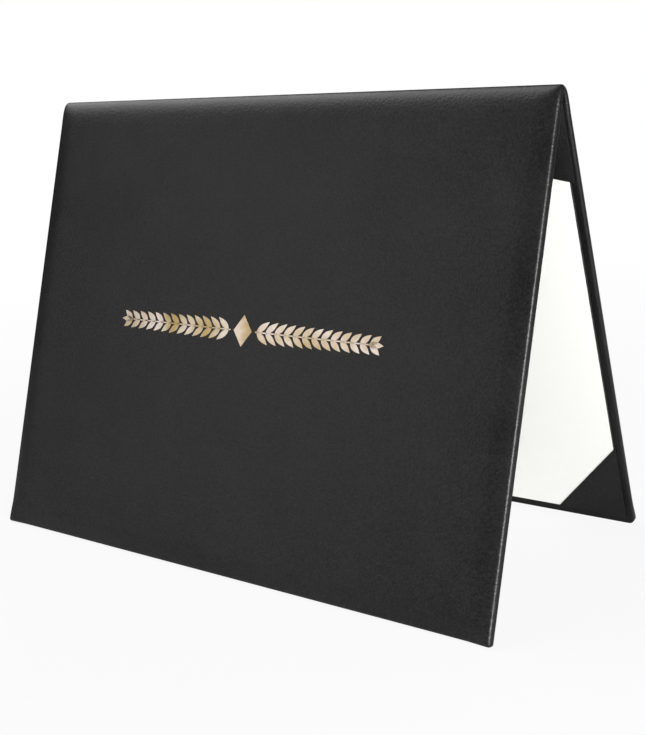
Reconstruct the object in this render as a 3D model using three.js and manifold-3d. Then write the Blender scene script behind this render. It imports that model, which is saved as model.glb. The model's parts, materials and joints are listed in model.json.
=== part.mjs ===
// Padded diploma cover, standing as a tent on its two lower edges.
// Millimetres, +Z up. The ridge runs along X, and the front cover faces -Y.
// Two boards are padded with foam on the outside and wrapped in leatherette,
// which also forms the hinge over the ridge. Inside, a card lining covers the
// turned-in edges, and the rear cover holds a white sheet under two corner
// pockets and the hinge strip.

import * as THREE from 'three';
import Module from 'manifold-3d';
import { mergeVertices } from 'three/addons/utils/BufferGeometryUtils.js';

const wasm = await Module();
wasm.setup();

// Overall form
const coverWidth = 292;
const coverDrop = 219.4; // hinge axis to the lower edge
const openingAngle = 37.2; // degrees between the two inner faces

// Sheet materials
const boardThickness = 2;
const leatherThickness = 0.5;
const stripThickness = 0.3; // thin leatherette of the hinge strip and the pockets
const insertThickness = 0.2;
const liningThickness = 0.4;
const glueLine = 0.05;
const closedGap = 0.3; // between the two inner faces when the cover is shut

// Padded edge
const padStart = 1; // hinge axis to the padded form's upper edge
const paddedThickness = 5.5; // turned-in leather to the crown of the pad
const innerEdgeRadius = 1.3;
const rollWidth = 13; // the pad rolls off over this width along the outer edges
const frontUpperRoll = 6; // the front pad is full almost to the ridge
const rearUpperRoll = 12;
const cornerRadius = 4;
const cornerGrowth = 0.6; // how fast a corner opens out towards the crown
const cornerSteps = 5;
const rollSteps = 8;
const edgeSteps = 4;

// Turned-in leather on the inner face
const turnInWidth = 15;
const seamLine = 7; // hinge axis to the line where each cover's leather meets the spine
const mitreGap = 0.3;
const mitreStart = 4;

// Lining, white sheet, hinge strip and pockets
const liningSideMargin = 3.5;
const liningLowerMargin = 5;
const liningUpperMargin = 7.6; // from the hinge axis
const insertInset = 0.6; // sheet to the edge of the lining, all round
const stripReach = 33.2; // hinge axis to the strip's lower edge
const stripSideMargin = 1.5;
const pocketWidth = 27.5;
const pocketHeight = 41.5;
const pocketFlap = 10;

// Leather loop over the ridge
const spineRise = 8.4; // hinge axis to the top of the ridge
const spineFullness = 4; // how far the loop stays level to each side of its top
const shoulderReach = 6.5; // how far the loop goes on straight from each cover
const spineSteps = 12;
const spineEndMargin = 0.4;
const seamGap = 0.15;

const halfAngle = THREE.MathUtils.degToRad(openingAngle / 2);
const past = 50; // cutting blocks run this far past what they cut

// Levels across a cover, measured outwards from the plane through the hinge axis
const stripFace = closedGap / 2;
const insertFace = stripFace + stripThickness + glueLine;
const liningFace = insertFace + insertThickness + glueLine;
const flapFace = liningFace + liningThickness + glueLine;
const turnInFace = flapFace + stripThickness + glueLine;
const boardFace = turnInFace + leatherThickness + glueLine;
const foamFace = boardFace + boardThickness + glueLine;
const crownFace = turnInFace + paddedThickness;

const leather = () => new THREE.MeshStandardMaterial({ color: 0x2b2b2c, roughness: 0.5, metalness: 0 });
const thinLeather = () => new THREE.MeshStandardMaterial({ color: 0x232324, roughness: 0.55, metalness: 0 });
const greyboard = () => new THREE.MeshStandardMaterial({ color: 0x8d8478, roughness: 0.9, metalness: 0 });
const foam = () => new THREE.MeshStandardMaterial({ color: 0xd9d6cc, roughness: 0.95, metalness: 0 });
const blackCard = () => new THREE.MeshStandardMaterial({ color: 0x1f1f20, roughness: 0.8, metalness: 0 });
const whitePaper = () => new THREE.MeshStandardMaterial({ color: 0xfbfbf6, roughness: 0.85, metalness: 0 });

function toSolid(geometry) {
  const bare = geometry.clone();
  bare.deleteAttribute('normal');
  bare.deleteAttribute('uv');
  const merged = mergeVertices(bare, 1e-5);
  return new wasm.Manifold(
    new wasm.Mesh({
      numProp: 3,
      vertProperties: new Float32Array(merged.attributes.position.array),
      triVerts: new Uint32Array(merged.index.array),
    }),
  );
}

function toGeometry(solid) {
  const mesh = solid.getMesh();
  const geometry = new THREE.BufferGeometry();
  geometry.setAttribute('position', new THREE.BufferAttribute(mesh.vertProperties, 3));
  geometry.setIndex(new THREE.BufferAttribute(mesh.triVerts, 1));
  geometry.computeVertexNormals();
  return geometry;
}

function block(x, y, z) {
  const geometry = new THREE.BoxGeometry(x[1] - x[0], y[1] - y[0], z[1] - z[0]);
  geometry.translate((x[0] + x[1]) / 2, (y[0] + y[1]) / 2, (z[0] + z[1]) / 2);
  return toSolid(geometry);
}

// A closed solid through rings of points, each ring anticlockwise seen from +Z
function loft(rings) {
  const count = rings[0].length;
  const points = rings.flat();
  const triangles = [];
  for (let ring = 0; ring + 1 < rings.length; ring += 1) {
    for (let i = 0; i < count; i += 1) {
      const a = ring * count + i;
      const b = ring * count + ((i + 1) % count);
      triangles.push(a, b, b + count, a, b + count, a + count);
    }
  }
  const cap = THREE.ShapeUtils.triangulateShape(rings[0].map((p) => new THREE.Vector2(p.x, p.y)), []);
  const topStart = (rings.length - 1) * count;
  for (const [a, b, c] of cap) {
    triangles.push(a, c, b);
    triangles.push(topStart + a, topStart + b, topStart + c);
  }
  const geometry = new THREE.BufferGeometry().setFromPoints(points);
  geometry.setIndex(triangles);
  return toSolid(geometry);
}

// The padded edge as pairs of [distance in from the edge, level], for a form that lies
// the given depth under the outside of the leather
function edgeProfile(depth) {
  const shoulder = turnInFace + innerEdgeRadius;
  const innerRadius = innerEdgeRadius - depth;
  const profile = [];
  for (let step = 0; step < edgeSteps; step += 1) {
    const turn = (step / edgeSteps) * (Math.PI / 2);
    profile.push([innerRadius * (1 - Math.sin(turn)), shoulder - innerRadius * Math.cos(turn)]);
  }
  for (let step = 0; step <= rollSteps; step += 1) {
    const turn = (step / rollSteps) * (Math.PI / 2);
    profile.push([
      (rollWidth - depth) * (1 - Math.cos(turn)),
      shoulder + (crownFace - depth - shoulder) * Math.sin(turn),
    ]);
  }
  return profile;
}

function outline(inset, upperInset, radius) {
  const x = coverWidth / 2 - inset - radius;
  const high = -padStart - upperInset - radius;
  const low = -coverDrop + inset + radius;
  const shape = new THREE.Shape();
  shape.absarc(x, high, radius, 0, Math.PI / 2);
  shape.absarc(-x, high, radius, Math.PI / 2, Math.PI);
  shape.absarc(-x, low, radius, Math.PI, 1.5 * Math.PI);
  shape.absarc(x, low, radius, 1.5 * Math.PI, 2 * Math.PI);
  return shape.getPoints(cornerSteps);
}

// The outside of a padded cover, or a form that lies evenly under it
function paddedForm(depth, upperRoll) {
  const rings = edgeProfile(depth).map(([inset, level]) => {
    const upperInset = depth + (inset * (upperRoll - depth)) / (rollWidth - depth);
    const radius = cornerRadius - depth + inset * cornerGrowth;
    return outline(depth + inset, upperInset, radius).map((p) => new THREE.Vector3(p.x, p.y, level));
  });
  return loft(rings);
}

const everyX = [-coverWidth, coverWidth];
const everyY = [-coverDrop - past, past];
const filling = (upperRoll) => paddedForm(leatherThickness + glueLine, upperRoll);

// Leatherette over the pad, round three edges and in over the board, mitred at the corners
function coverLeather(upperRoll) {
  const windowX = coverWidth / 2 - turnInWidth;
  let solid = paddedForm(0, upperRoll)
    .subtract(paddedForm(leatherThickness, upperRoll))
    .subtract(block([-windowX, windowX], [-coverDrop + turnInWidth, past], [0, turnInFace + innerEdgeRadius]))
    .subtract(block(everyX, [-seamLine, past], [-past, past]));
  for (const side of [-1, 1]) {
    const slit = new THREE.BoxGeometry(turnInWidth * 2, mitreGap, innerEdgeRadius);
    slit.translate(turnInWidth + mitreStart, 0, 0);
    slit.rotateZ(side > 0 ? 0.75 * Math.PI : 0.25 * Math.PI);
    slit.translate((side * coverWidth) / 2, -coverDrop, turnInFace + leatherThickness - innerEdgeRadius / 2);
    solid = solid.subtract(toSolid(slit));
  }
  return toGeometry(solid);
}

function board(upperRoll) {
  return toGeometry(filling(upperRoll).intersect(block(everyX, everyY, [boardFace, boardFace + boardThickness])));
}

function foamPad(upperRoll) {
  return toGeometry(filling(upperRoll).intersect(block(everyX, everyY, [foamFace, crownFace])));
}

// A rectangle that lies inside the lining's outline by the given inset
function sheet(inset, face, thickness) {
  const width = coverWidth - 2 * (liningSideMargin + inset);
  const height = coverDrop - liningLowerMargin - liningUpperMargin - 2 * inset;
  const geometry = new THREE.BoxGeometry(width, height, thickness);
  geometry.translate(0, -liningUpperMargin - inset - height / 2, face + thickness / 2);
  return geometry;
}

// A folded corner: a triangle over the sheet, two edges round the lining and flaps behind it
function cornerPocket(side) {
  const wrap = stripThickness + glueLine;
  const cornerX = coverWidth / 2 - liningSideMargin;
  const cornerY = -coverDrop + liningLowerMargin;
  const shape = new THREE.Shape();
  shape.moveTo(cornerX + wrap, cornerY - wrap);
  shape.lineTo(cornerX + wrap, cornerY + pocketHeight);
  shape.lineTo(cornerX, cornerY + pocketHeight);
  shape.lineTo(cornerX - pocketWidth, cornerY);
  shape.lineTo(cornerX - pocketWidth, cornerY - wrap);
  const depth = flapFace + stripThickness - stripFace;
  const body = new THREE.ExtrudeGeometry(shape, { depth, bevelEnabled: false });
  body.translate(0, 0, stripFace);
  const slotX = [-past, cornerX + glueLine];
  const slotY = [cornerY - glueLine, past];
  const slot = block(slotX, slotY, [stripFace + stripThickness, flapFace]);
  const behind = block([-past, cornerX - pocketFlap], [cornerY + pocketFlap, past], [flapFace - glueLine, past]);
  const solid = toSolid(body).subtract(slot).subtract(behind);
  return toGeometry(side > 0 ? solid : solid.mirror([1, 0, 0]));
}

// Extrudes a section drawn in the Y-Z plane along X, centred on the cover
function alongRidge(shape, length) {
  const geometry = new THREE.ExtrudeGeometry(shape, { depth: length, bevelEnabled: false });
  geometry.translate(0, 0, -length / 2);
  const x = new THREE.Vector3(1, 0, 0);
  const y = new THREE.Vector3(0, 1, 0);
  const z = new THREE.Vector3(0, 0, 1);
  return geometry.applyMatrix4(new THREE.Matrix4().makeBasis(y, z, x));
}

// A point of the rear cover's section, from its distance down the cover and its level
function onRear(down, level) {
  return new THREE.Vector2(
    down * Math.sin(halfAngle) + level * Math.cos(halfAngle),
    -down * Math.cos(halfAngle) + level * Math.sin(halfAngle),
  );
}

// Where the leather meets the seam line on the roll of a pad: its outer and inner faces,
// and the point that it would reach if it went on straight
function seam(upperRoll) {
  const shoulder = turnInFace + innerEdgeRadius;
  const rise = crownFace - shoulder;
  const down = seamLine - seamGap;
  const run = Math.max(1 - (down - padStart) / upperRoll, 0);
  const level = shoulder + rise * Math.sqrt(1 - run * run);
  const slope = ((rise / upperRoll) * run) / Math.sqrt(1 - run * run);
  const step = shoulderReach / Math.hypot(1, slope);
  return {
    outer: onRear(down, level),
    inner: onRear(down, level - leatherThickness * Math.hypot(1, slope)),
    ahead: onRear(down - step, level - slope * step),
  };
}

// The leather loop that joins the covers over the ridge, from the front seam to the rear one
function spineLeather() {
  const mirror = (p) => new THREE.Vector2(-p.x, p.y);
  const front = seam(frontUpperRoll);
  const rear = seam(rearUpperRoll);
  const top = new THREE.Vector2(0, spineRise);
  const side = (s) => new THREE.Vector2(s * spineFullness, spineRise);
  const rise = new THREE.CubicBezierCurve(mirror(front.outer), mirror(front.ahead), side(-1), top);
  const fall = new THREE.CubicBezierCurve(top, side(1), rear.ahead, rear.outer);
  const outer = [...rise.getPoints(spineSteps), ...fall.getPoints(spineSteps).slice(1)];
  const inner = outer.map((point, i) => {
    const before = outer[Math.max(i - 1, 0)];
    const after = outer[Math.min(i + 1, outer.length - 1)];
    const along = after.clone().sub(before).normalize();
    return new THREE.Vector2(point.x + along.y * leatherThickness, point.y - along.x * leatherThickness);
  });
  inner[0] = mirror(front.inner);
  inner[inner.length - 1] = rear.inner;
  return alongRidge(new THREE.Shape([...inner, ...outer.reverse()]), coverWidth - 2 * spineEndMargin);
}

// The hinge strip lies over both linings and folds at the hinge axis
function hingeStrip() {
  const rearEnd = [onRear(stripReach, stripFace), onRear(stripReach, stripFace + stripThickness)];
  const fold = [0, stripThickness].map((t) => new THREE.Vector2(0, (stripFace + t) / Math.sin(halfAngle)));
  const frontEnd = rearEnd.map((p) => new THREE.Vector2(-p.x, p.y));
  const path = [fold[0], frontEnd[0], frontEnd[1], fold[1], rearEnd[1], rearEnd[0]];
  return alongRidge(new THREE.Shape(path.reverse()), coverWidth - 2 * stripSideMargin);
}

function add(group, name, geometry, material) {
  const mesh = new THREE.Mesh(geometry, material);
  mesh.name = name;
  group.add(mesh);
}

// In a cover's own frame +Y points up to the hinge axis and +Z out of the padded face
function coverBoard(side, upperRoll) {
  const tilt = new THREE.Group();
  tilt.rotation.x = Math.PI / 2 - halfAngle;
  add(tilt, `${side}_cover_leather`, coverLeather(upperRoll), leather());
  add(tilt, `${side}_board`, board(upperRoll), greyboard());
  add(tilt, `${side}_foam_pad`, foamPad(upperRoll), foam());
  return tilt;
}

const front = coverBoard('front', frontUpperRoll);
const frontLiningFace = insertFace;
add(front, 'front_lining', sheet(0, frontLiningFace, turnInFace - glueLine - frontLiningFace), blackCard());

const rear = coverBoard('rear', rearUpperRoll);
add(rear, 'rear_lining', sheet(0, liningFace, liningThickness), blackCard());
add(rear, 'white_insert', sheet(insertInset, insertFace, insertThickness), whitePaper());
add(rear, 'corner_pocket_left', cornerPocket(1), thinLeather());
add(rear, 'corner_pocket_right', cornerPocket(-1), thinLeather());
const rearSide = new THREE.Group();
rearSide.rotation.z = Math.PI;
rearSide.add(rear);

const hinge = new THREE.Group();
hinge.add(front, rearSide);
add(hinge, 'spine_leather', spineLeather(), leather());
add(hinge, 'hinge_strip', hingeStrip(), thinLeather());

// The lowest point of the rounded lower edge stands on the table
const lowest = edgeProfile(0).map(
  ([inset, level]) => (-coverDrop + inset) * Math.cos(halfAngle) + level * Math.sin(halfAngle),
);
hinge.position.z = -Math.min(...lowest);

const diplomaCover = new THREE.Group();
diplomaCover.add(hinge);

export default diplomaCover;
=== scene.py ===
import json
from math import cos, pi, radians, sin, sqrt

import bpy
from mathutils import Matrix, Vector


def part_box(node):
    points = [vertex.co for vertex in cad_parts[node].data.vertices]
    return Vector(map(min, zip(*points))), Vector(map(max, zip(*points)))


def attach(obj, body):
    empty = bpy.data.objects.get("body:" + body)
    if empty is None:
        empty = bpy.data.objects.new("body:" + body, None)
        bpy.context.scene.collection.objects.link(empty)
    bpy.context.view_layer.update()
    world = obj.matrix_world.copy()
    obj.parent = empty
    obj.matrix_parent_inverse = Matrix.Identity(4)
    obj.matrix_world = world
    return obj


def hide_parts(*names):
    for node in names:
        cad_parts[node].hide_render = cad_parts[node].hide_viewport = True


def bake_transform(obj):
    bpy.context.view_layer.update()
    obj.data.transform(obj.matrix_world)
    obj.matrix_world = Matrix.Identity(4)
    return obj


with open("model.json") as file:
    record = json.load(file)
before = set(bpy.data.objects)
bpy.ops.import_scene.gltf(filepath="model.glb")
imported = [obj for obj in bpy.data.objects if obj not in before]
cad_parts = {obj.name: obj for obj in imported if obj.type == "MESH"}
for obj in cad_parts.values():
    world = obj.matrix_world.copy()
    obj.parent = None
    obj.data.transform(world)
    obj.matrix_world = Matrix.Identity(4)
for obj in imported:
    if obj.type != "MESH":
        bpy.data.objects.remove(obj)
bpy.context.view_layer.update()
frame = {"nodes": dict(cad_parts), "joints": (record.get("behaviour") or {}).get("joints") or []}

bpy.ops.object.select_all(action="DESELECT")

# Camera and stage
# The cover stands on a white table in plain soft light. The camera looks down a
# little from the front and the right, tilted slightly as the photograph is.
picture_height = 735
focal_pixels = 1215.9
camera_place = Vector((0.3637, -0.4596, 0.2364))
camera_azimuth = radians(37.19)
camera_elevation = radians(14.79)
camera_roll = radians(-3.78)

bpy.ops.object.camera_add()
camera = bpy.context.object
camera.name = "camera"
camera.data.sensor_width = 36
camera.data.lens = focal_pixels * camera.data.sensor_width / picture_height
camera.data.clip_start = 0.01
back = Vector((
    sin(camera_azimuth) * cos(camera_elevation),
    -cos(camera_azimuth) * cos(camera_elevation),
    sin(camera_elevation),
))
level_right = (-back).cross(Vector((0, 0, 1))).normalized()
level_up = level_right.cross(-back)
right = cos(camera_roll) * level_right + sin(camera_roll) * level_up
up = cos(camera_roll) * level_up - sin(camera_roll) * level_right
turn = Matrix((right, up, back)).transposed()
camera.matrix_world = Matrix.Translation(camera_place) @ turn.to_4x4()
bpy.context.scene.camera = camera
bpy.context.scene.view_settings.view_transform = "Standard"


def soft_light(name, place, aim, size, watts):
    """A square soft box at a place, aimed at a point of the cover."""
    bpy.ops.object.light_add(type="AREA", location=place)
    lamp = bpy.context.object
    lamp.name = name
    lamp.data.shape = "SQUARE"
    lamp.data.size = size
    lamp.data.energy = watts
    lamp.rotation_euler = (Vector(aim) - Vector(place)).to_track_quat("-Z", "Y").to_euler()


soft_light("overhead_light", (-0.85, 0, 1.35), (0, 0, 0.15), 1.3, 19.39)
soft_light("front_light", (-1.1, -1.5, 0.65), (0, 0, 0.1), 0.9, 4.09)
soft_light("right_light", (1.1, -0.69, 0.32), (0.1, 0, 0.1), 0.3, 24.96)
soft_light("rear_light", (0.4, 1.6, 0.8), (0, 0, 0.1), 0.9, 4.0)

world = bpy.data.worlds.new("white_room")
bpy.context.scene.world = world
world.use_nodes = True
sky = world.node_tree.nodes
sky_links = world.node_tree.links
sky.clear()
sky_out = sky.new("ShaderNodeOutputWorld")
seen_white = sky.new("ShaderNodeBackground")
seen_white.inputs["Color"].default_value = (1, 1, 1, 1)
seen_white.inputs["Strength"].default_value = 1.0
room_light = sky.new("ShaderNodeBackground")
room_light.inputs["Color"].default_value = (1, 1, 1, 1)
room_light.inputs["Strength"].default_value = 0.032
sky_mix = sky.new("ShaderNodeMixShader")
sky_path = sky.new("ShaderNodeLightPath")
sky_links.new(sky_path.outputs["Is Camera Ray"], sky_mix.inputs[0])
sky_links.new(room_light.outputs[0], sky_mix.inputs[1])
sky_links.new(seen_white.outputs[0], sky_mix.inputs[2])
sky_links.new(sky_mix.outputs[0], sky_out.inputs[0])


def new_material(name):
    """A node material with its shader, and a helper that adds a node with settings."""
    material = bpy.data.materials.new(name)
    material.use_nodes = True
    tree = material.node_tree
    shader = tree.nodes["Principled BSDF"]

    def node(kind, **settings):
        made = tree.nodes.new(kind)
        for key, value in settings.items():
            if key in made.inputs:
                made.inputs[key].default_value = value
            else:
                setattr(made, key, value)
        return made

    return material, shader, node, tree.links.new


table_white, shader, node, link = new_material("table_white")
shader.inputs["Base Color"].default_value = (0.6, 0.6, 0.6, 1)
shader.inputs["Roughness"].default_value = 0.7
shader.inputs["Specular IOR Level"].default_value = 0.1
clean_white = node("ShaderNodeEmission", Color=(1, 1, 1, 1), Strength=1.0)
table_mix = node("ShaderNodeMixShader")
table_path = node("ShaderNodeLightPath")
from_cover = node("ShaderNodeVectorMath", operation="LENGTH")
table_share = node("ShaderNodeMapRange")
table_share.inputs["From Min"].default_value = 0.15
table_share.inputs["From Max"].default_value = 0.8
table_share.inputs["To Min"].default_value = 0.9
table_share.inputs["To Max"].default_value = 1.0
seen_share = node("ShaderNodeMath", operation="MULTIPLY")
link(node("ShaderNodeTexCoord").outputs["Object"], from_cover.inputs[0])
link(from_cover.outputs["Value"], table_share.inputs["Value"])
link(table_share.outputs["Result"], seen_share.inputs[0])
link(table_path.outputs["Is Camera Ray"], seen_share.inputs[1])
link(seen_share.outputs[0], table_mix.inputs[0])
link(shader.outputs[0], table_mix.inputs[1])
link(clean_white.outputs[0], table_mix.inputs[2])
link(table_mix.outputs[0], table_white.node_tree.nodes["Material Output"].inputs["Surface"])

table_size = 12
bpy.ops.mesh.primitive_plane_add(size=table_size)
table = bpy.context.object
table.name = "table"
table.data.materials.append(table_white)

# Outer leatherette
# One sheet of black leatherette lies over both padded covers and the ridge. It is
# glued to the foam, rolls over the three free edges of each cover and is turned in
# over the boards. At the ends of the ridge its edge is folded under.
hinge = frame["joints"][0]
half_angle = radians(-hinge["range_deg"][0]) / 2
axis_height = hinge["pos_m"][2]
leather_thickness = 0.0005
half_width = 0.146
cover_drop = 0.2194
crown_level = 0.00705
turn_in_level = 0.00155
edge_radius = 0.0013
shoulder_level = turn_in_level + edge_radius
roll_width = 0.013
pad_start = 0.001
seam_down = 0.007
upper_roll = 0.006
edge_turn = 0.0013
turn_share = 0.5
corner_reach = 0.015
corner_filling = 0.4
corner_squareness = 4
corner_radius = {-1: 0.0012, 1: 0.003}
spine_rise = 0.0084
spine_fullness = 0.004
shoulder_reach = 0.0065
ridge_end_width = 0.0018
ridge_end_drop = 0.0018
fold_depth = 0.00115
fold_past_board = 1.4
turn_in_width = 0.015
turn_steps = 5
roll_steps = 6
roll_step_growth = 1.5
plain_steps = 12
upper_steps = 4
spine_steps = 14
wrap_steps = 5


def on_cover(side, x, down, level):
    """A point of the front (-1) or rear (1) cover: down from the hinge axis, level outwards."""
    return Vector((
        x,
        side * (down * sin(half_angle) + level * cos(half_angle)),
        axis_height - down * cos(half_angle) + level * sin(half_angle),
    ))


def cover_outward(side):
    """The way straight out of a cover's outer face."""
    return Vector((0, side * cos(half_angle), sin(half_angle)))


def fullness(distance, width):
    """How full the pad is at a distance in from an edge: 0 at the edge, 1 past the roll."""
    turn = 1 - min(max(distance / edge_turn, 0), 1)
    roll = 1 - min(max(distance / width, 0), 1)
    return turn_share * sqrt(1 - turn * turn) + (1 - turn_share) * (1 - roll * roll)


def smooth(t):
    """A soft step from 0 to 1."""
    t = min(max(t, 0), 1)
    return t * t * (3 - 2 * t)


def bezier(a, b, c, d, t):
    """A point on the curve from a to d, drawn towards b and c."""
    return a * (1 - t) ** 3 + b * 3 * t * (1 - t) ** 2 + c * 3 * t * t * (1 - t) + d * t**3


def at_corner(x, down):
    """1 at a lower corner of a cover, where the folds are thick, and 0 away from it."""
    from_side = 1 - (half_width - abs(x)) / corner_reach
    from_low_edge = 1 - (cover_drop - down) / corner_reach
    return smooth(from_side) * smooth(from_low_edge)


def pad_level(x, down):
    """The level of the leather on a cover, lower where it rolls over an edge."""
    lacks = (
        1 - fullness(half_width - abs(x), roll_width),
        1 - fullness(cover_drop - down, roll_width),
        1 - fullness(down - pad_start, upper_roll),
    )
    lack = min(sum(part**corner_squareness for part in lacks) ** (1 / corner_squareness), 1)
    lack *= 1 - corner_filling * at_corner(x, down)
    return crown_level - (crown_level - shoulder_level) * lack


def seam_and_ahead(side):
    """Where the ridge's curve starts on a cover, and the point it heads for."""
    tiny = 1e-5
    start = on_cover(side, 0, seam_down, pad_level(0, seam_down))
    lower = on_cover(side, 0, seam_down + tiny, pad_level(0, seam_down + tiny))
    return start, start + (start - lower).normalized() * shoulder_reach


def ridge_point(t):
    """A point on the outside of the ridge, from the front seam at -1 to the rear at 1."""
    side = -1 if t < 0 else 1
    top = Vector((0, 0, axis_height + spine_rise))
    start, ahead = seam_and_ahead(side)
    return bezier(top, top + Vector((0, side * spine_fullness, 0)), ahead, start, abs(t))


edge_steps = [edge_turn * (1 - cos(i / turn_steps * pi / 2)) for i in range(turn_steps + 1)]
edge_steps += [
    edge_turn + (roll_width - edge_turn) * (i / roll_steps) ** roll_step_growth
    for i in range(1, roll_steps + 1)
]
middle = half_width - roll_width
columns = [-half_width + step for step in edge_steps]
columns += [-middle + 2 * middle * i / plain_steps for i in range(1, plain_steps)]
columns += [half_width - step for step in reversed(edge_steps)]

cover_downs = [cover_drop - step for step in edge_steps]
plain_top = pad_start + 2 * upper_roll
plain_bottom = cover_drop - roll_width
cover_downs += [
    plain_bottom + (plain_top - plain_bottom) * i / plain_steps for i in range(1, plain_steps + 1)
]
cover_downs += [
    plain_top + (seam_down - plain_top) * i / upper_steps for i in range(1, upper_steps)
]
rows = [("cover", -1, down) for down in cover_downs]
rows += [("ridge", 0, -1 + i / spine_steps) for i in range(2 * spine_steps + 1)]
rows += [("cover", 1, down) for down in reversed(cover_downs)]


def rounded_corner(x, down, radius):
    """Moves a point near a lower corner onto the rounded corner, and gives its way inwards."""
    across = abs(x) - (half_width - radius)
    along = down - (cover_drop - radius)
    sign = 1 if x > 0 else -1
    if across <= 0 or along <= 0:
        inward = (-sign, 0) if across > along else (0, -1)
        return x, down, inward
    share = 2 * radius * radius
    new_across = across * sqrt(1 - along * along / share)
    new_along = along * sqrt(1 - across * across / share)
    size = max(sqrt(new_across**2 + new_along**2), 1e-9)
    inward = (-sign * new_across / size, -new_along / size)
    return (
        sign * (half_width - radius + new_across),
        cover_drop - radius + new_along,
        inward,
    )


def leather_point(row, column, wrap):
    """A point of the sheet. wrap is 0 on the outside, then goes round the edge to the turn-in."""
    kind, side, place = rows[row]
    x = columns[column]
    round_edge = min(wrap / wrap_steps, 1) * pi / 2
    if kind == "cover":
        level = pad_level(x, place)
        new_x, down, inward = rounded_corner(x, place, corner_radius[side])
        if wrap > 0:
            level = shoulder_level - edge_radius * sin(round_edge)
            new_x += inward[0] * edge_radius * (1 - cos(round_edge))
            down += inward[1] * edge_radius * (1 - cos(round_edge))
        if wrap > wrap_steps:
            limit = half_width - turn_in_width
            new_x = min(max(new_x, -limit), limit)
            down = min(down, cover_drop - turn_in_width)
        return on_cover(side, new_x, down, level)
    tiny = 1e-4
    point = ridge_point(place)
    ahead = ridge_point(min(place + tiny, 1)) - ridge_point(max(place - tiny, -1))
    inside = Vector((0, ahead.z, -ahead.y)).normalized()
    hand = -1 if x < 0 else 1
    share = smooth(abs(place))
    width = ridge_end_width + (roll_width - ridge_end_width) * share
    drop = ridge_end_drop + (crown_level - shoulder_level - ridge_end_drop) * share
    depth = drop * (1 - fullness(half_width - abs(x), width)) + edge_radius * sin(round_edge)
    reach = abs(x) - edge_radius * (1 - cos(round_edge))
    if wrap > wrap_steps:
        share = smooth(fold_past_board * abs(place))
        depth = fold_depth + (drop + edge_radius - fold_depth) * share
        reach = half_width - turn_in_width
    return Vector((hand * reach, point.y, point.z)) + inside * depth


bpy.ops.object.select_all(action="DESELECT")
bpy.ops.mesh.primitive_grid_add(
    x_subdivisions=len(columns) - 1, y_subdivisions=len(rows) - 1, size=2
)
leather = bpy.context.object
leather.name = "outer_leatherette"
sheet_mesh = leather.data
for key in ("row", "column", "wrap"):
    sheet_mesh.attributes.new(key, "FLOAT", "POINT")
for i, vertex in enumerate(sheet_mesh.vertices):
    column = round((vertex.co.x + 1) / 2 * (len(columns) - 1))
    row = round((vertex.co.y + 1) / 2 * (len(rows) - 1))
    sheet_mesh.attributes["column"].data[i].value = column
    sheet_mesh.attributes["row"].data[i].value = row

# The free edge is extruded once for each step round the edge, and once for the turn-in
for wrap in range(1, wrap_steps + 2):
    bpy.ops.object.mode_set(mode="EDIT")
    bpy.ops.mesh.select_mode(type="EDGE")
    bpy.ops.mesh.select_all(action="DESELECT")
    bpy.ops.mesh.select_non_manifold()
    bpy.ops.mesh.extrude_region_move()
    bpy.ops.object.mode_set(mode="OBJECT")
    for i, vertex in enumerate(sheet_mesh.vertices):
        if vertex.select:
            sheet_mesh.attributes["wrap"].data[i].value = wrap
for i, vertex in enumerate(sheet_mesh.vertices):
    row, column, wrap = (
        round(sheet_mesh.attributes[key].data[i].value) for key in ("row", "column", "wrap")
    )
    vertex.co = leather_point(row, column, wrap)
bpy.ops.object.mode_set(mode="EDIT")
bpy.ops.mesh.select_all(action="SELECT")
bpy.ops.mesh.remove_doubles(threshold=0.00002)
bpy.ops.object.mode_set(mode="OBJECT")
if max(sheet_mesh.polygons, key=lambda face: face.center.z).normal.z < 0:
    sheet_mesh.flip_normals()


def add_modifier(piece, kind, **settings):
    """Adds a modifier to a piece and applies it."""
    bpy.ops.object.select_all(action="DESELECT")
    piece.select_set(True)
    bpy.context.view_layer.objects.active = piece
    modifier = piece.modifiers.new(kind.lower(), kind)
    for key, value in settings.items():
        setattr(modifier, key, value)
    bpy.ops.object.modifier_apply(modifier=modifier.name)


add_modifier(leather, "SOLIDIFY", thickness=leather_thickness, offset=-1)
add_modifier(leather, "SUBSURF", levels=1, render_levels=1)
bpy.ops.object.shade_smooth()


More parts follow.
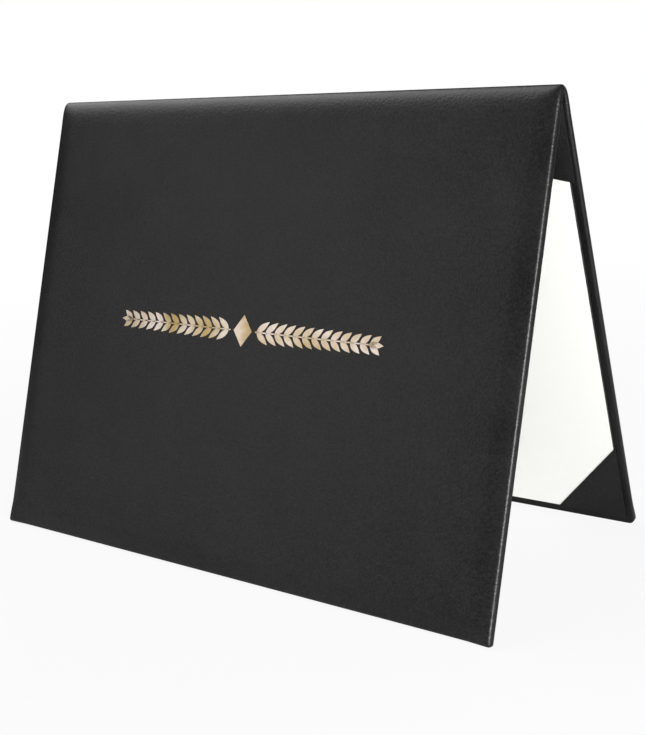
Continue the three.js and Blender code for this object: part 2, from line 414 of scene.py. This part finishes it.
def leatherette(name, dark, light, roughness, grain_size, grain_depth):
    """Embossed leatherette: small soft pebbles, a finer tooth, and a faint unevenness."""
    material, shader, node, link = new_material(name)
    place = node("ShaderNodeTexCoord").outputs["Object"]
    pebble = node("ShaderNodeTexVoronoi", feature="SMOOTH_F1", Scale=1 / grain_size)
    pebble.inputs["Smoothness"].default_value = 0.6
    tooth = node("ShaderNodeTexNoise", Scale=1.2 / grain_size, Detail=3.0, Roughness=0.6)
    patch = node("ShaderNodeTexNoise", Scale=34.0, Detail=4.0, Roughness=0.6)
    for texture in (pebble, tooth, patch):
        link(place, texture.inputs["Vector"])
    colour = node("ShaderNodeValToRGB")
    colour.color_ramp.elements[0].position = 0.4
    colour.color_ramp.elements[0].color = (*dark, 1)
    colour.color_ramp.elements[1].position = 0.62
    colour.color_ramp.elements[1].color = (*light, 1)
    speck = node("ShaderNodeMath", operation="MULTIPLY_ADD")
    speck.inputs[1].default_value = 0.75
    link(tooth.outputs["Fac"], speck.inputs[0])
    faint_patch = node("ShaderNodeMath", operation="MULTIPLY")
    faint_patch.inputs[1].default_value = 0.25
    link(patch.outputs["Fac"], faint_patch.inputs[0])
    link(faint_patch.outputs[0], speck.inputs[2])
    link(speck.outputs[0], colour.inputs["Fac"])
    link(colour.outputs["Color"], shader.inputs["Base Color"])
    shine = node("ShaderNodeMapRange")
    shine.inputs["To Min"].default_value = roughness - 0.05
    shine.inputs["To Max"].default_value = roughness + 0.07
    link(patch.outputs["Fac"], shine.inputs["Value"])
    link(shine.outputs["Result"], shader.inputs["Roughness"])
    shader.inputs["Specular IOR Level"].default_value = 0.34
    coarse = node("ShaderNodeBump", Strength=0.8, Distance=grain_depth)
    fine = node("ShaderNodeBump", Strength=0.6, Distance=grain_depth * 0.4)
    link(pebble.outputs["Distance"], coarse.inputs["Height"])
    link(tooth.outputs["Fac"], fine.inputs["Height"])
    link(coarse.outputs["Normal"], fine.inputs["Normal"])
    link(fine.outputs["Normal"], shader.inputs["Normal"])
    return material


black_leatherette = leatherette(
    "black_leatherette", (0.0030, 0.0030, 0.0032), (0.0120, 0.0120, 0.0123), 0.4, 0.0011, 0.0001
)
leather.data.materials.clear()
leather.data.materials.append(black_leatherette)
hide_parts("front_cover_leather", "rear_cover_leather", "spine_leather")
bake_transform(leather)

# Boards
# Two stiff greyboards, 2 mm thick, give the covers their shape. They lie between
# the turned-in leatherette and the foam, glued to both, and only their ends show.
def matt_finish(name, dark, light, roughness, bump, texture, kind="Noise", height="Fac"):
    """A matt material: one fine texture gives both its colour and its bump."""
    material, shader, node, link = new_material(name)
    grain = node("ShaderNodeTex" + kind, **texture)
    colour = node("ShaderNodeValToRGB")
    colour.color_ramp.elements[0].color = (*dark, 1)
    colour.color_ramp.elements[1].color = (*light, 1)
    relief = node("ShaderNodeBump", Strength=bump[0], Distance=bump[1])
    link(node("ShaderNodeTexCoord").outputs["Object"], grain.inputs["Vector"])
    link(grain.outputs[height], colour.inputs["Fac"])
    link(colour.outputs["Color"], shader.inputs["Base Color"])
    link(grain.outputs[height], relief.inputs["Height"])
    link(relief.outputs["Normal"], shader.inputs["Normal"])
    shader.inputs["Roughness"].default_value = roughness
    return material


greyboard = matt_finish(
    "greyboard", (0.2, 0.18, 0.15), (0.4, 0.37, 0.32), 0.9, bump=(0.3, 0.0001),
    texture={"Scale": 420.0, "Detail": 6.0, "Roughness": 0.7},
)


def finish_node(name, material):
    """Gives a CAD node its material."""
    shown = frame["nodes"][name]
    shown.data.materials.clear()
    shown.data.materials.append(material)


for name in ("front_board", "rear_board"):
    finish_node(name, greyboard)

# Foam pads
# A sheet of soft foam on the outside of each board makes the cover plump. The
# leatherette pulls it down to the board along every edge.
foam_clearance = leather_thickness + 0.00015
foam_slack = 0.001
foam_base = 0.00415
foam_least = 0.0001
foam_columns = 40
foam_rows = 32
pad_half = half_width - 0.002
pad_low = cover_drop - 0.0025
pad_high = seam_down + 0.001
foam_white = matt_finish(
    "foam_white", (0.45, 0.43, 0.37), (0.72, 0.7, 0.62), 0.95, bump=(0.6, 0.0002),
    texture={"Scale": 1500.0}, kind="Voronoi", height="Distance",
)


def foam_level(x, down):
    """The top of the foam, evenly under the leather."""
    level = pad_level(abs(x) + foam_slack, down + foam_slack)
    return max(level - foam_clearance, foam_base + foam_least)


for side, name, body in ((-1, "front_foam_pad", "front_cover"), (1, "rear_foam_pad", "rear_cover")):
    bpy.ops.object.select_all(action="DESELECT")
    bpy.ops.mesh.primitive_grid_add(
        x_subdivisions=foam_columns, y_subdivisions=foam_rows, size=2
    )
    pad = bpy.context.object
    pad.name = name.replace("_pad", "")
    bpy.ops.object.mode_set(mode="EDIT")
    bpy.ops.mesh.select_all(action="SELECT")
    bpy.ops.mesh.extrude_region_move(TRANSFORM_OT_translate={"value": (0, 0, 1)})
    bpy.ops.object.mode_set(mode="OBJECT")
    for vertex in pad.data.vertices:
        x = sin(vertex.co.x * pi / 2) * pad_half
        down = (pad_low + pad_high) / 2 - sin(vertex.co.y * pi / 2) * (pad_low - pad_high) / 2
        level = foam_level(x, down) if vertex.co.z > 0.5 else foam_base
        vertex.co = on_cover(side, x, down, level)
    bpy.ops.object.mode_set(mode="EDIT")
    bpy.ops.mesh.select_all(action="SELECT")
    bpy.ops.mesh.normals_make_consistent(inside=False)
    bpy.ops.object.mode_set(mode="OBJECT")
    add_modifier(pad, "BEVEL", width=0.0001, segments=2, limit_method="ANGLE")
    bpy.ops.object.shade_smooth_by_angle(angle=radians(40))
    pad.data.materials.append(foam_white)
    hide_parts(name)
    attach(pad, body)

# Lining cards
# Thin black card inside each cover hides the turned-in edges. It is set in a few
# millimetres from the edge, so a rim of leatherette shows all round it.
black_card = matt_finish(
    "black_card", (0.014, 0.014, 0.015), (0.026, 0.026, 0.027), 0.75, bump=(0.3, 0.00005),
    texture={"Scale": 700.0, "Detail": 5.0, "Roughness": 0.65},
)
for name in ("front_lining", "rear_lining"):
    finish_node(name, black_card)

# White sheet
# A plain sheet of smooth white paper lies on the rear lining. Its lower corners
# are in the pockets and its upper end is under the hinge strip.
white_paper = matt_finish(
    "white_paper", (0.9, 0.9, 0.865), (0.94, 0.94, 0.91), 0.8, bump=(0.12, 0.00003),
    texture={"Scale": 900.0, "Detail": 6.0, "Roughness": 0.7},
)
finish_node("white_insert", white_paper)

# Corner pockets
# Each lower corner of the sheet sits in a triangle of thin leatherette, folded
# round the lining card and glued behind it, with a soft rounded fold.
thin_leatherette = leatherette(
    "thin_leatherette", (0.0040, 0.0040, 0.0042), (0.0130, 0.0130, 0.0133), 0.5, 0.0009, 0.0001
)


def from_node(node_name, piece_name):
    """A merged copy of a CAD node's mesh, as the start of a new piece."""
    source = frame["nodes"][node_name]
    piece = bpy.data.objects.new(piece_name, source.data.copy())
    bpy.context.collection.objects.link(piece)
    piece.data.materials.clear()
    bpy.ops.object.select_all(action="DESELECT")
    piece.select_set(True)
    bpy.context.view_layer.objects.active = piece
    bpy.ops.object.mode_set(mode="EDIT")
    bpy.ops.mesh.select_all(action="SELECT")
    bpy.ops.mesh.remove_doubles(threshold=0.00001)
    bpy.ops.mesh.dissolve_limited(angle_limit=radians(1))
    bpy.ops.object.mode_set(mode="OBJECT")
    return piece


pocket_fold = 0.00012
pocket_edge = 0.1425
pocket_widening = 1.28
for hand in ("left", "right"):
    pocket = from_node(f"corner_pocket_{hand}", f"pocket_{hand}")
    for vertex in pocket.data.vertices:
        from_edge = max(pocket_edge - abs(vertex.co.x), 0)
        vertex.co.x += from_edge * (pocket_widening - 1) * (-1 if vertex.co.x > 0 else 1)
    add_modifier(pocket, "BEVEL", width=pocket_fold, segments=3, limit_method="ANGLE")
    bpy.ops.object.shade_smooth_by_angle(angle=radians(35))
    pocket.data.materials.append(thin_leatherette)
    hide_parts(f"corner_pocket_{hand}")
    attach(pocket, "rear_cover")

# Hinge strip
# A wide strip of thin leatherette lines the hinge inside. It is glued over both
# linings and the upper end of the sheet, and folds where the covers meet.
strip_lower = 0.0014
strip_flare = 0.0022
strip_flare_width = 0.011
strip_fold = 0.0001
strip = from_node("hinge_strip", "hinge_lining_strip")
strip_low, strip_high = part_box("hinge_strip")
bpy.ops.object.mode_set(mode="EDIT")
for cut in (strip_low[0] + strip_flare_width, strip_high[0] - strip_flare_width):
    bpy.ops.mesh.select_all(action="SELECT")
    bpy.ops.mesh.bisect(plane_co=(cut, 0, 0), plane_no=(1, 0, 0))
bpy.ops.object.mode_set(mode="OBJECT")
for vertex in strip.data.vertices:
    if vertex.co.z < strip_low[2] + 0.001:
        side = -1 if vertex.co.y < 0 else 1
        inside_ends = abs(vertex.co.x) < strip_high[0] - strip_flare_width / 2
        reach = strip_lower - (strip_flare if inside_ends else 0)
        vertex.co += on_cover(side, 0, reach, 0) - on_cover(side, 0, 0, 0)
add_modifier(strip, "BEVEL", width=strip_fold, segments=2, limit_method="ANGLE")
bpy.ops.object.shade_smooth_by_angle(angle=radians(35))
strip.data.materials.append(thin_leatherette)
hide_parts("hinge_strip")
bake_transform(strip)

# Foil ornament
# A garland of laurel leaves is stamped in gold foil across the middle of the front
# cover. The foil is pressed flat on the leatherette.
foil_thickness = 0.00006
garland_half = 0.079
garland_down = 0.1045
leaf_length = 0.0088
leaf_width = 0.0030
leaf_taper = 0.25
leaf_angle = radians(38)
leaf_steps = 8
leaf_pairs = 13
first_leaf = 0.0085
stem_start = 0.0075
stem_end = garland_half - 0.8 * leaf_length
stem_width = 0.0006
end_leaf_length = 0.9 * leaf_length
diamond_width = 0.011
diamond_height = 0.015

up_cover = on_cover(-1, 0, 0, 0) - on_cover(-1, 0, 1, 0)
foil_plane = Matrix((Vector((1, 0, 0)), up_cover, cover_outward(-1))).transposed().to_4x4()
foil_plane.translation = on_cover(-1, 0, garland_down, crown_level - foil_thickness / 2)


def foil_shape(outline):
    """A flat shape of foil at unit size, one foil thick."""
    bpy.ops.object.select_all(action="DESELECT")
    bpy.ops.mesh.primitive_circle_add(vertices=len(outline), fill_type="NGON")
    shape = bpy.context.object
    for vertex, (x, y) in zip(shape.data.vertices, outline):
        vertex.co = (x, y, 0)
    bpy.ops.object.mode_set(mode="EDIT")
    bpy.ops.mesh.select_all(action="SELECT")
    bpy.ops.mesh.extrude_region_move(TRANSFORM_OT_translate={"value": (0, 0, foil_thickness)})
    bpy.ops.mesh.select_all(action="SELECT")
    bpy.ops.mesh.normals_make_consistent(inside=False)
    bpy.ops.object.mode_set(mode="OBJECT")
    return shape


def stamp(shape, x, angle, length, width):
    """A copy of a foil shape, sized and turned, at its place along the stem."""
    copy = bpy.data.objects.new("foil", shape.data.copy())
    bpy.context.collection.objects.link(copy)
    turned = Matrix.Translation((x, 0, 0)) @ Matrix.Rotation(angle, 4, "Z")
    copy.data.transform(foil_plane @ turned @ Matrix.Diagonal((length, width, 1, 1)))
    return copy


leaf_outline = []
for sign in (1, -1):
    for i in range(leaf_steps):
        t = i / leaf_steps if sign > 0 else 1 - i / leaf_steps
        leaf_outline.append((t, sign * sin(pi * t**0.8) / 2))
leaf = foil_shape(leaf_outline)
stem = foil_shape([(0, -0.5), (1, -0.5), (1, 0.5), (0, 0.5)])
diamond = foil_shape([(0.5, 0), (0, 0.5), (-0.5, 0), (0, -0.5)])
foil_parts = [stamp(diamond, 0, 0, diamond_width, diamond_height)]
for hand, facing in ((1, 0), (-1, pi)):
    for i in range(leaf_pairs):
        start = first_leaf + (stem_end - first_leaf) * i / (leaf_pairs - 1)
        size = leaf_length * (1 - leaf_taper * i / leaf_pairs)
        for lift in (-leaf_angle, leaf_angle):
            foil_parts.append(stamp(leaf, hand * start, facing + lift, size, leaf_width))
    foil_parts.append(stamp(stem, hand * stem_start, facing, stem_end - stem_start, stem_width))
    end_leaf_start = garland_half - end_leaf_length
    foil_parts.append(stamp(leaf, hand * end_leaf_start, facing, end_leaf_length, leaf_width))
for shape in (leaf, stem, diamond):
    bpy.data.objects.remove(shape)
bpy.ops.object.select_all(action="DESELECT")
for part in foil_parts:
    part.select_set(True)
bpy.context.view_layer.objects.active = foil_parts[0]
bpy.ops.object.join()
garland = bpy.context.object
garland.name = "foil_garland"

gold_foil, shader, node, link = new_material("gold_foil")
# The foil's tint wanders in patches from dark gold to a pale whitish gold. The patches are partly
# the foil's own uneven tone. Their strong contrast is painted highlight at the pale end and painted
# dark reflection at the dark end.
tint_and_painted_highlight_patch = node("ShaderNodeTexNoise", Scale=55.0, Detail=3.0, Roughness=0.6)
foil_grain = node("ShaderNodeTexVoronoi", feature="SMOOTH_F1", Scale=900.0)
foil_tint_and_painted_highlight = node("ShaderNodeValToRGB")
foil_tint_and_painted_highlight.color_ramp.elements[0].position = 0.35
foil_tint_and_painted_highlight.color_ramp.elements[0].color = (0.42, 0.3, 0.13, 1)
foil_tint_and_painted_highlight.color_ramp.elements[1].position = 0.7
foil_tint_and_painted_highlight.color_ramp.elements[1].color = (0.78, 0.7, 0.66, 1)
foil_bump = node("ShaderNodeBump", Strength=0.5, Distance=0.00005)
foil_place = node("ShaderNodeTexCoord").outputs["Object"]
link(foil_place, tint_and_painted_highlight_patch.inputs["Vector"])
link(foil_place, foil_grain.inputs["Vector"])
link(tint_and_painted_highlight_patch.outputs["Fac"], foil_tint_and_painted_highlight.inputs["Fac"])
link(foil_tint_and_painted_highlight.outputs["Color"], shader.inputs["Base Color"])
link(foil_grain.outputs["Distance"], foil_bump.inputs["Height"])
link(foil_bump.outputs["Normal"], shader.inputs["Normal"])
shader.inputs["Metallic"].default_value = 1.0
shader.inputs["Roughness"].default_value = 0.3
garland.data.materials.append(gold_foil)
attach(garland, "front_cover")
